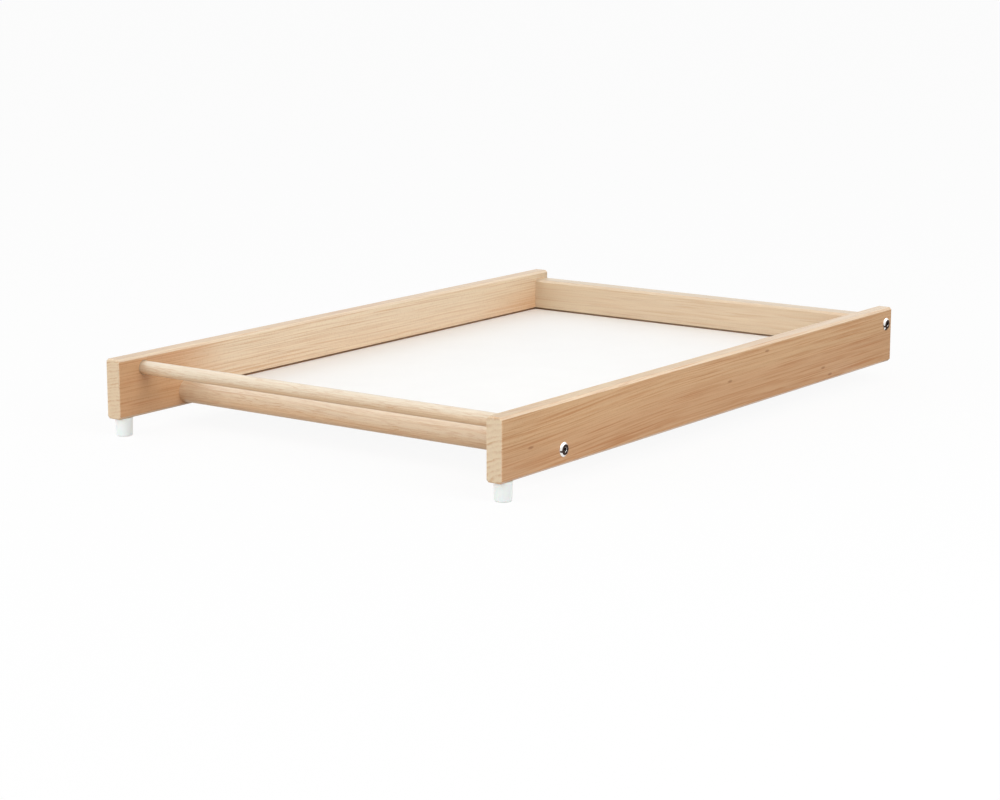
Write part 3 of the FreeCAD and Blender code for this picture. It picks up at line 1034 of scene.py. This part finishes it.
class CHANGER_OT_stage(bpy.types.Operator):
    """Set the floor, the lights, the camera and the colours of the view"""

    bl_idname = "changer.stage"
    bl_label = "Stage"

    def shown(self, nodes):
        """1 for rays that come from the camera or by way of gloss or glass, else 0."""
        path = nodes.tree.nodes.new("ShaderNodeLightPath").outputs
        seen = nodes.math("MAXIMUM", path["Is Camera Ray"], path["Is Glossy Ray"])
        return nodes.math("MAXIMUM", seen, path["Is Transmission Ray"])

    def material(self, name):
        """A stage material and its node tree, with nothing in it."""
        material = bpy.data.materials.new(name)
        material.use_nodes = True
        material.node_tree.nodes.clear()
        return material, Nodes(material.node_tree)

    def floor(self, settings):
        """A wide pale floor, white to the eye, that keeps the changer's shadow."""
        shape = bmesh.new()
        bmesh.ops.create_circle(shape, cap_ends=True, segments=96, radius=30.0)
        material, nodes = self.material("studio_floor")
        pale = nodes.node("BsdfDiffuse", {"Color": settings.floor_colour})
        matt = nodes.node("BsdfDiffuse", {"Color": FLOOR_WHITE})
        seen = nodes.node("MixShader", {0: settings.floor_white, 1: matt, 2: nodes.node("Emission", {})})
        nodes.surface(nodes.node("MixShader", {0: self.shown(nodes), 1: pale, 2: seen}))
        made = built(shape, "studio_floor", material)

    def card(self, name, glow, corners):
        """A card flat on the floor, which only gloss shows."""
        low, high = (Vector((*corner, CARD_HEIGHT)) for corner in corners)
        shape = bmesh.new()
        bmesh.ops.create_grid(shape, x_segments=1, y_segments=1, size=0.5)
        bmesh.ops.scale(shape, vec=high - low, verts=shape.verts)
        bmesh.ops.translate(shape, vec=(low + high) / 2, verts=shape.verts)
        material, nodes = self.material(name)
        nodes.surface(nodes.node("Emission", {"Color": glow}))
        made = built(shape, name, material)
        for ray in ("camera", "diffuse", "transmission", "volume_scatter", "shadow"):
            setattr(made, "visible_" + ray, False)

    def sky(self, settings):
        """Even light from all round, which shows as plain white, and as brighter overhead in gloss."""
        world = bpy.data.worlds.new("studio")
        bpy.context.scene.world = world
        world.use_nodes = True
        nodes = Nodes(world.node_tree)
        strength = nodes.range(self.shown(nodes), 0.0, 1.0, settings.sky_strength, 1.0)
        height = nodes.part(nodes.node("TexCoord", {}, "Generated"), "Z")
        overhead = nodes.range(height, *OVERHEAD, 0.0, settings.sky_gloss)
        gloss = nodes.node("LightPath", {}, "Is Glossy Ray")
        background = world.node_tree.nodes["Background"].inputs
        nodes.feed(background["Color"], (1.0, 1.0, 1.0))
        nodes.feed(background["Strength"], nodes.math("MULTIPLY_ADD", overhead, gloss, strength))

    def lamp(self, settings, name):
        """A large soft lamp that faces the changer."""
        place = Vector(getattr(settings, name + "_place"))
        lamp = bpy.data.lights.new(name + "_light", "AREA")
        lamp.size = getattr(settings, name + "_size")
        lamp.energy = getattr(settings, name + "_power")
        made = bpy.data.objects.new(name + "_light", lamp)
        made.location = place
        made.rotation_euler = place.to_track_quat("Z", "Y").to_euler()
        made.visible_camera = False
        made.visible_glossy = False
        bpy.context.scene.collection.objects.link(made)

    def camera(self, settings):
        """The camera at the photographed view."""
        data = bpy.data.cameras.new("camera")
        data.sensor_width = 36.0
        data.lens = settings.camera_lens
        data.clip_end = 100.0
        made = bpy.data.objects.new("camera", data)
        turn = Matrix.Rotation(settings.camera_azimuth, 4, "Z")
        tilt = Matrix.Rotation(QUARTER - settings.camera_pitch, 4, "X")
        roll = Matrix.Rotation(settings.camera_roll, 4, "Z")
        made.matrix_world = Matrix.Translation(settings.camera_place) @ turn @ tilt @ roll
        bpy.context.scene.collection.objects.link(made)
        bpy.context.scene.camera = made

    def execute(self, context):
        settings = context.scene.changer_stage
        self.floor(settings)
        for name, corners in SIDE_CARDS.items():
            self.card("studio_card_" + name, settings.side_card, corners)
        self.card("studio_card_front", settings.front_card, FRONT_CARD)
        self.sky(settings)
        for name in ("key", "fill"):
            self.lamp(settings, name)
        self.camera(settings)
        context.scene.view_settings.view_transform = "Standard"
        return {"FINISHED"}


OPERATORS = (
    CHANGER_OT_side_boards,
    CHANGER_OT_back_board,
    CHANGER_OT_front_rails,
    CHANGER_OT_panel,
    CHANGER_OT_pegs,
    CHANGER_OT_bolts,
    CHANGER_OT_peg_screws,
    CHANGER_OT_barrel_nuts,
    CHANGER_OT_dowel_pins,
    CHANGER_OT_stage,
)
SETTINGS = {
    "changer_beech": BeechSettings,
    "changer_panel": PanelSettings,
    "changer_fittings": FittingSettings,
    "changer_stage": StageSettings,
}


class CHANGER_PT_sidebar(bpy.types.Panel):
    """Steps and settings of the changer"""

    bl_idname = "CHANGER_PT_sidebar"
    bl_label = "Cot top changer"
    bl_space_type = "VIEW_3D"
    bl_region_type = "UI"
    bl_category = "Changer"

    def draw(self, context):
        for step in OPERATORS:
            self.layout.operator(step.bl_idname)
        for name, group in SETTINGS.items():
            box = self.layout.box()
            for key in group.__annotations__:
                box.prop(getattr(context.scene, name), key)


CLASSES = (*SETTINGS.values(), *OPERATORS, CHANGER_PT_sidebar)


def register():
    for cls in CLASSES:
        bpy.utils.register_class(cls)
    for name, group in SETTINGS.items():
        setattr(bpy.types.Scene, name, PointerProperty(type=group))


def unregister():
    for name in SETTINGS:
        delattr(bpy.types.Scene, name)
    for cls in reversed(CLASSES):
        bpy.utils.unregister_class(cls)


def main():
    """Runs every step in order."""
    register()
    for step in OPERATORS:
        family, name = step.bl_idname.split(".")
        getattr(getattr(bpy.ops, family), name)()


if __name__ == "__main__":
    main()
